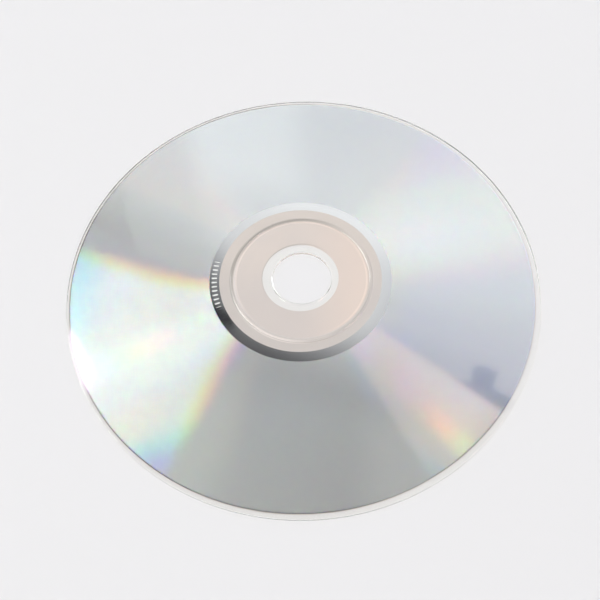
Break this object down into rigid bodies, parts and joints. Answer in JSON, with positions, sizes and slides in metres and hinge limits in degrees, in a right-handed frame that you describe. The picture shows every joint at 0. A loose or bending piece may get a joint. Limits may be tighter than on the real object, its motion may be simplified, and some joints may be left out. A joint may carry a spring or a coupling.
{
  "type": "compact disc",
  "caption": "Round optical disc with a spindle hole: clear moulded plate, reflective film under it and a printed coat over the film. Lies on its printed side, read side up.",
  "frame": {"origin": "on the spindle hole's axis, in the plane of the printed face that the disc lies on", "axes": "+Z along the spindle hole's axis, from the printed side to the read side; +X and +Y lie in the disc's plane, with +Y away from the viewer of the picture and +X to the viewer's right"},
  "size_m": [0.12, 0.12, 0.0014],
  "materials": {
    "clear_plastic": "polished clear polycarbonate, moulded, with faint handling marks",
    "reflective_film": "bright reflective film over fine circular tracks, which split light into soft rainbow wedges; a plain mirror band at the inner edge",
    "printed_coat": "satin lacquer and ink, one plain pale pinkish beige"
  },
  "bodies": {
    "root": {"clear_disc": "clear_plastic", "reflective_film": "reflective_film", "printed_coat": "printed_coat"}
  },
  "joints": []
}
